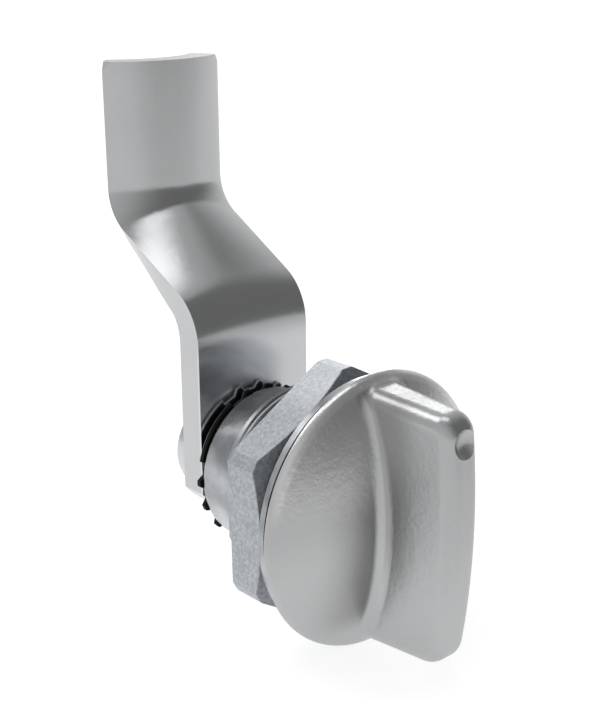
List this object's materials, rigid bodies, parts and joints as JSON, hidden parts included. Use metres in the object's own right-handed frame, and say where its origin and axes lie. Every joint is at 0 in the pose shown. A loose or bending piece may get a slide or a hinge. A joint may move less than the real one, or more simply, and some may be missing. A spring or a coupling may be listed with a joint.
{
  "type": "quarter-turn cam latch",
  "caption": "Panel latch: a domed wing knob turns a cranked steel cam a quarter turn through a flanged, threaded barrel held in the door by a thin hexagon nut.",
  "frame": {"origin": "on the latch axis, in the rear face of the flange, which seats on the door", "axes": "+Y along the latch axis from the knob to the cam, +Z along the cam when the latch is open, +X to the right of someone who faces the knob"},
  "size_m": [0.031, 0.0517, 0.0613],
  "materials": {
    "satin_nickel": "zinc casting, satin nickel plated, with a fine cast grain",
    "bright_nickel": "zinc casting, bright nickel plated",
    "galvanised_steel": "steel, galvanised, with a fine mottled grain",
    "black_steel": "steel, blackened",
    "polished_steel": "stainless steel, satin polished",
    "zinc_plated_steel": "steel, bright zinc plated",
    "seal_rubber": "black nitrile rubber, matt"
  },
  "bodies": {
    "fixed": {"housing": "bright_nickel", "panel_seal": "seal_rubber", "hex_nut": "galvanised_steel"},
    "rotor": {"wing_knob": "satin_nickel", "spindle_seal": "seal_rubber", "stop_washer": "black_steel", "cam": "polished_steel", "lock_washer": "zinc_plated_steel", "cam_screw": "zinc_plated_steel"}
  },
  "joints": [
    {"name": "quarter_turn", "type": "hinge", "parent": "fixed", "child": "rotor", "pos_m": [0, 0, 0], "axis": [0, 1, 0], "range_deg": [0, 90]}
  ]
}
